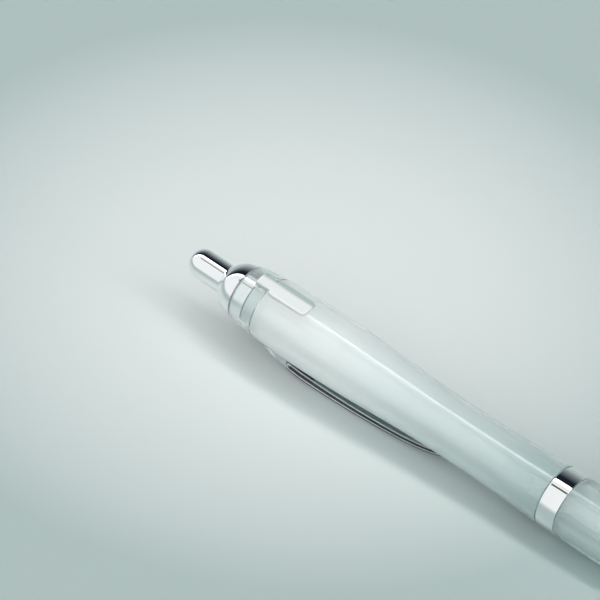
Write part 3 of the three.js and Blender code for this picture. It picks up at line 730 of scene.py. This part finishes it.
# Centre ring and lower barrel
ringSize = {"length": 4, "step": 0.02, "crown": 0.06, "edge": 0.25}
lowerSize = {"length": 35.3, "swell": (8.3, 6.2), "end": 5.1, "taper": 1.8, "spigotWall": 1.05,
             "gripFromEnd": 19, "gripPitch": 2.6, "gripRings": 5, "gripHeight": 0.28, "gripLength": 1.5,
             "gripBend": 0.6, "frontSpigot": (4.2, 5, 3.4), "boreRunOut": 0.4, "bevel": 0.1,
             "steps": 353}
ringStart = upperSize["end"][0] + seam
ringRadius = upperSize["end"][1] - ringSize["step"]
lowerStart = ringStart + ringSize["length"] + seam
lowerEnd = lowerStart + lowerSize["length"]
threadRadius = upperSize["end"][1] - upperSize["threadWall"] - slide
lowerBore = threadRadius - lowerSize["spigotWall"]


def centreRing():
    end = ringStart + ringSize["length"]
    edge, crown, length = ringSize["edge"], ringSize["crown"], ringSize["length"]
    band = [(x, ringRadius + crown * (1 - ((x - ringStart) / length * 2 - 1) ** 2))
            for x in stepsOf(ringStart, end, 12)]
    outline = softened(band + [(end, threadRadius + slide), (ringStart, threadRadius + slide)], edge, 6)
    return settle(turned("centre_ring_skin", outline), "ring", "centre_ring", "chrome", chrome)


def lowerRadius(x):
    swellDistance, swell = lowerSize["swell"]
    swellPlace = lowerStart + swellDistance
    if x < swellPlace:
        return ease(ringRadius, swell, (x - lowerStart) / swellDistance)
    share = (x - swellPlace) / (lowerEnd - swellPlace)
    return swell - (swell - lowerSize["end"]) * share ** lowerSize["taper"]


def gripRise(x):
    inGrip = x - (lowerEnd - lowerSize["gripFromEnd"])
    ring, place = divmod(inGrip, lowerSize["gripPitch"])
    if not 0 <= ring < lowerSize["gripRings"] or place > lowerSize["gripLength"]:
        return 0.0
    rise = math.sin(math.pi * place / lowerSize["gripLength"])
    return lowerSize["gripHeight"] * rise ** lowerSize["gripBend"]


def lowerBarrel():
    spigotStart = upperSize["end"][0] - upperSize["threadLength"]
    spigotRadius, spigotLength, spigotBore = lowerSize["frontSpigot"]
    boreStep = lowerEnd - spigotLength
    line = [(x, lowerRadius(x) + gripRise(x)) for x in stepsOf(lowerStart, lowerEnd, lowerSize["steps"])]
    spigotEnd = lowerEnd + spigotLength
    back = [(spigotStart, lowerBore), (spigotStart, threadRadius), (lowerStart, threadRadius)]
    front = [(lowerEnd, spigotRadius), (spigotEnd, spigotRadius), (spigotEnd, spigotBore),
             (boreStep, spigotBore), (boreStep - lowerSize["boreRunOut"], lowerBore),
             (spigotStart, lowerBore)]
    outline = softened(back + line[:3], lowerSize["bevel"], closed=False)[:-1] + line[3:-2]
    outline += softened(line[-3:] + front, lowerSize["bevel"], closed=False)[1:-1]
    barrel = turned("lower_barrel_skin", outline)
    return settle(barrel, "front", "lower_barrel", "clear_plastic", clearPlastic, sharpness=50)


# Nose cone
noseSize = {"length": 15.8, "tip": 1.75, "bulge": 0.55, "bore": 2.45, "hole": 1.3, "tipLength": 3.8,
            "bevel": 0.25}
noseStart = lowerEnd + seam
noseEnd = noseStart + noseSize["length"]
springSeat = noseEnd - noseSize["tipLength"]


def noseCone():
    base, tip, bulge = lowerSize["end"], noseSize["tip"], noseSize["bulge"]
    hole, bore = noseSize["hole"], noseSize["bore"]
    socket = lowerSize["frontSpigot"][0] + press
    socketEnd = lowerEnd + lowerSize["frontSpigot"][1] + seam
    line = [(noseStart + noseSize["length"] * share,
             base + (tip - base) * share + 4 * bulge * share * (1 - share)) for share in stepsOf(0, 1, 48)]
    inside = [(noseEnd, hole), (springSeat, hole), (springSeat, bore), (socketEnd, bore), (socketEnd, socket)]
    outline = softened([(noseStart, socket)] + line + inside, noseSize["bevel"], 6)
    return settle(turned("nose_cone_skin", outline), "front", "nose_cone", "chrome", chrome)


# Refill: tube, ink, tip holder, nib and ball
refillSize = {"radius": 1.5, "bore": 1.02, "end": 101.4, "inkStart": 32, "spigot": 4, "bevel": 0.1,
              "inkRound": 0.4}
nibSize = {"length": 8.9, "holder": (16.1, 1.25), "collar": (2.1, 1), "channel": 0.3, "feed": (0.15, 0.8),
           "radius": 1.12, "shank": (0.75, 3), "cone": 2.6, "ball": 0.5, "play": 0.05, "shown": 0.3,
           "lipWall": 0.06, "mouth": 0.26, "bevel": 0.12}
holderEnd = ballPlace - nibSize["length"]
collarStart = refillSize["end"] + seam


def refillTube():
    radius, bore, end = refillSize["radius"], refillSize["bore"], refillSize["end"]
    corners = [(refillStart, bore), (refillStart, radius), (end, radius), (end, bore)]
    tube = turned("refill_tube_skin", softened(corners, refillSize["bevel"]), 64)
    return settle(tube, "refill", "refill_tube", "white_plastic", whitePlastic)


def inkColumn():
    radius = refillSize["bore"] - press
    end = refillSize["end"] - refillSize["spigot"] - seam
    rounding = refillSize["inkRound"]
    outline = quarter(refillSize["inkStart"] + rounding, 0, rounding, radius, 6) + [(end, radius), (end, 0)]
    return settle(turned("ink_column_skin", outline, 48), "refill", "ink_column", "ink", inkFluid)


def tipHolder():
    start = refillSize["end"] - refillSize["spigot"]
    collarRadius, collarLength = nibSize["collar"]
    collarEnd = collarStart + collarLength
    radius, channel = nibSize["holder"][1], nibSize["channel"]
    shank = nibSize["shank"][0] + press
    socket = holderEnd - nibSize["shank"][1] - seam
    plug = refillSize["bore"] - press
    outline = softened([(start, channel), (start, plug), (collarStart, plug), (collarStart, collarRadius),
                        (collarEnd, collarRadius), (collarEnd, radius), (holderEnd, radius),
                        (holderEnd, shank), (socket, shank), (socket, channel)], refillSize["bevel"])
    holder = turned("tip_holder_skin", outline, 64)
    return settle(holder, "refill", "tip_holder", "white_plastic", whitePlastic)


def nib():
    shank, shankLength = nibSize["shank"]
    ball, radius, channel = nibSize["ball"], nibSize["radius"], nibSize["channel"]
    feed, feedLength = nibSize["feed"]
    seat = ball + nibSize["play"]
    lipPlace = ballPlace + ball - nibSize["shown"]
    lipAngle = math.acos((lipPlace - ballPlace) / seat)
    angles = stepsOf(lipAngle, math.pi - math.asin(nibSize["mouth"] / seat), 16)
    cavity = [(ballPlace + seat * math.cos(angle), seat * math.sin(angle)) for angle in angles]
    feedStart = cavity[-1][0] - feedLength
    shankStart, shankEnd, lip = holderEnd - shankLength, holderEnd + seam, cavity[0][1]
    outside = softened([(shankStart, channel), (shankStart, shank), (shankEnd, shank), (shankEnd, radius),
                        (lipPlace - nibSize["cone"], radius), (lipPlace, lip + nibSize["lipWall"]),
                        (lipPlace, lip)], nibSize["bevel"], closed=False)
    outline = outside + cavity[1:] + [(feedStart + feedLength - seam, feed), (feedStart, feed),
                                      (feedStart - seam, channel)]
    return settle(turned("nib_skin", outline, 64), "refill", "nib", "nickel", nickel)


def nibBall():
    outline = [(ballPlace - nibSize["ball"] * math.cos(angle), nibSize["ball"] * math.sin(angle))
               for angle in stepsOf(0, math.pi, 24)]
    return settle(turned("nib_ball_skin", outline, 48), "ball", "nib_ball", "steel", steel)


# Return spring: one wire, its first and last turns drawn closer
springSize = {"wire": 0.2, "coil": 1.85, "turns": 13, "endPitch": 0.95, "steps": 32, "sides": 10,
              "nearby": 0.01}
springBack = collarStart + nibSize["collar"][1] + seam + springSize["wire"]
springFront = springSeat - seam - springSize["wire"]


def springPoint(turn):
    endPitch = springSize["endPitch"]
    openTurns = springSize["turns"] - 2
    openPitch = (springFront - springBack - 2 * endPitch) / openTurns
    x = springBack + min(turn, 1) * endPitch + min(max(turn - 1, 0), openTurns) * openPitch
    x += max(turn - 1 - openTurns, 0) * endPitch
    angle = 2 * math.pi * turn
    return Vector((x, springSize["coil"] * math.cos(angle), springSize["coil"] * math.sin(angle)))


def returnSpring():
    turns, wire, nearby = springSize["turns"], springSize["wire"], springSize["nearby"]
    rings = []
    for turn in stepsOf(0, turns, turns * springSize["steps"]):
        centre = springPoint(turn)
        ahead, behind = min(turn + nearby, turns), max(turn - nearby, 0)
        onward = (springPoint(ahead) - springPoint(behind)).normalized()
        outward = Vector((0, centre.y, centre.z)).normalized()
        outward = (outward - onward * outward.dot(onward)).normalized()
        sideways = onward.cross(outward)
        rings.append([tuple(centre + (outward * math.cos(angle) + sideways * math.sin(angle)) * wire)
                      for angle in stepsOf(0, 2 * math.pi, springSize["sides"])[:-1]])
    coil = stacked("return_spring_skin", rings)
    spring = settle(coil, "front", "return_spring", "steel", steel, sharpness=60)
    length = springFront - springBack + 2 * springSize["wire"]
    left = (length - buttonSize["stroke"]) / length
    anchor = penFrame @ Vector((springFront + springSize["wire"], 0, 0))
    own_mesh(spring)
    return spring


for make in (pushButton, topCollar, camGuide, thrustCam, rotor):
    make()
print("button, dome and click mechanism made")
for make in (clip, upperBarrel, centreRing, lowerBarrel, noseCone):
    make()
print("clip, barrels, ring and nose made")
for make in (refillTube, inkColumn, tipHolder, nib, nibBall, returnSpring):
    make()
print("refill and spring made")


# Floor: a painted pool of light, palest under the head of the pen and a little deeper all round
floorLook = {"pale": (0.667, 0.707, 0.698), "deep": (0.37, 0.45, 0.442), "centre": (-0.056, 0.014, 0),
             "turn": 0.41, "reach": (0.083, 0.072, 1), "halfSize": 3.0, "speckle": 0.01,
             "grainScale": 900, "rough": 0.75, "haze": 0.05, "specular": 0.2}


def studioFloor():
    half = floorLook["halfSize"]
    corners = [(-half, -half, 0), (half, -half, 0), (half, half, 0), (-half, half, 0)]
    mesh = bpy.data.meshes.new("studioFloor")
    mesh.from_pydata(corners, [], [(0, 1, 2, 3)])
    floor = linked("studioFloor", mesh)
    finish, bench = newFinish("floorBoard")
    fromHead = bench.node("Mapping", {"vector_type": "TEXTURE"}, Vector=bench.place(),
                          Location=floorLook["centre"], Rotation=(0, 0, floorLook["turn"]),
                          Scale=floorLook["reach"])
    away = bench.node("VectorMath", {"operation": "LENGTH"}, output=1, s0=fromHead)
    # Painted light falloff: the floor deepens away from the pool under the head
    share = away.sum("MINIMUM", away * away, 1.0)
    grain = bench.noise(floorLook["grainScale"], 2)
    speckled = share + (grain - 0.5) * floorLook["speckle"]
    colour = bench.between(speckled, floorLook["pale"], floorLook["deep"])
    rough = floorLook["rough"] + grain * floorLook["haze"]
    bench.surface(bench.node("BsdfPrincipled", Base_Color=colour, Roughness=rough,
                             Specular_IOR_Level=floorLook["specular"]))
    mesh.materials.append(finish)


# Studio round the pen. From the far horizon it gets darker upwards, then come a bright strip and the pale
# overhead and front. A step's place is 0 at the far horizon, 0.5 straight overhead and 1 at the near horizon.
studioLook = {"horizon": (0.23, 0.255, 0.255), "low": (0.175, 0.2, 0.2), "middle": (0.12, 0.135, 0.14),
              "deep": (0.055, 0.065, 0.07), "dark": (0.005, 0.0065, 0.011), "strip": (2.3, 2.3, 2.3),
              "overhead": (0.41, 0.42, 0.42), "front": (0.43, 0.44, 0.44), "strength": 2.2, "window": 0.6,
              "windowReach": (0.0, 0.6), "onMatt": 1.12, "seam": (0.545, 0.012, 0.008),
              "seamStart": (-0.42, -0.4), "seamDepth": 0.92,
              "steps": [(0.0, "horizon"), (0.05, "low"), (0.11, "middle"), (0.2, "deep"), (0.3, "dark"),
                        (0.4, "dark"), (0.405, "strip"), (0.445, "strip"), (0.455, "overhead"),
                        (0.6, "front"), (0.93, "front"), (1.0, "horizon")]}


def studioWorld():
    world = bpy.data.worlds.new("studio")
    bpy.context.scene.world = world
    bench = NodeBench(world)
    direction = bench.node("TexCoord", output="Generated")
    away = bench.node("SeparateXYZ", output=1, Vector=direction)
    height = bench.node("SeparateXYZ", output=2, Vector=direction)
    turn = height.sum("ARCTAN2", height, away) / math.pi
    along = bench.node("SeparateXYZ", Vector=direction)
    look = studioLook
    glowStart, glowEnd = look["windowReach"]  # brighter on the nib's side
    sideGlow = bench.node("MapRange", {"clamp": True}, Value=along, From_Min=glowStart, From_Max=glowEnd)
    stops = [(place, look[name]) for place, name in look["steps"]]
    colour = bench.node("ValToRGB", {"stops": stops}, Fac=turn)
    # A dark seam between two overhead boxes, which the pen's front part mirrors as a thin line
    seamPlace, seamHalf, seamEdge = look["seam"]
    offSeam = (turn - seamPlace).sum("ABSOLUTE", turn - seamPlace, 0.0)
    inSeam = bench.node("MapRange", {"clamp": True}, Value=offSeam, From_Min=seamHalf + seamEdge,
                        From_Max=seamHalf)
    startLow, startHigh = look["seamStart"]
    seamStarts = bench.node("MapRange", {"clamp": True}, Value=along, From_Min=startLow, From_Max=startHigh)
    onMatt = bench.node("LightPath", output=2)
    level = (look["strength"] + sideGlow * look["window"]) * (1 - inSeam * seamStarts * look["seamDepth"])
    level = level * (1 - onMatt * (1 - look["onMatt"]))  # matt surfaces get a little more of it
    shine = bench.node("Background", Color=colour, Strength=level)
    bench.node("OutputWorld", Surface=shine)


# Key light: a long soft box above and a little behind, aimed at a place along the pen
keyLight = {"direction": (-0.27, 0.4, 0.92), "distance": 0.9, "size": (0.8, 0.4), "power": 0.65,
            "aimAlong": 30}


def addKeyLight():
    data = bpy.data.lights.new("keyBox", "AREA")
    data.shape = "RECTANGLE"
    data.size, data.size_y = keyLight["size"]
    data.energy = keyLight["power"]
    lamp = linked("keyBox", data)
    towards = Vector(keyLight["direction"]).normalized()
    target = penFrame @ Vector((keyLight["aimAlong"], 0, 0))
    lamp.location = target + towards * keyLight["distance"]
    lamp.visible_glossy = False  # gloss mirrors the studio alone
    long = (alongPen - towards * alongPen.dot(towards)).normalized()
    lamp.matrix_world = frameOf(lamp.location, long, towards.cross(long), towards)


# Camera as in the photograph: high from the nib's side, with a long lens
cameraView = {"azimuth": 39.388, "elevation": 48.078, "distance": 1.35, "lens": 436.17, "aimAlong": 13.047,
              "aimUp": 5.088, "farLimit": 20}


def addCamera():
    azimuth, elevation = math.radians(cameraView["azimuth"]), math.radians(cameraView["elevation"])
    back = Vector((math.sin(azimuth) * math.cos(elevation), -math.cos(azimuth) * math.cos(elevation),
                   math.sin(elevation)))
    right = Vector((math.cos(azimuth), math.sin(azimuth), 0))
    up = back.cross(right)
    data = bpy.data.cameras.new("camera")
    data.lens = cameraView["lens"]
    data.clip_end = cameraView["farLimit"]
    camera = linked("camera", data)
    aim = penFrame @ Vector((cameraView["aimAlong"], 0, 0)) + up * cameraView["aimUp"] / metre
    camera.matrix_world = frameOf(aim + back * cameraView["distance"], right, up, back)
    bpy.context.scene.camera = camera


studioFloor()
studioWorld()
addKeyLight()
addCamera()
bpy.context.scene.view_settings.view_transform = "Standard"
print("floor, light and camera set")
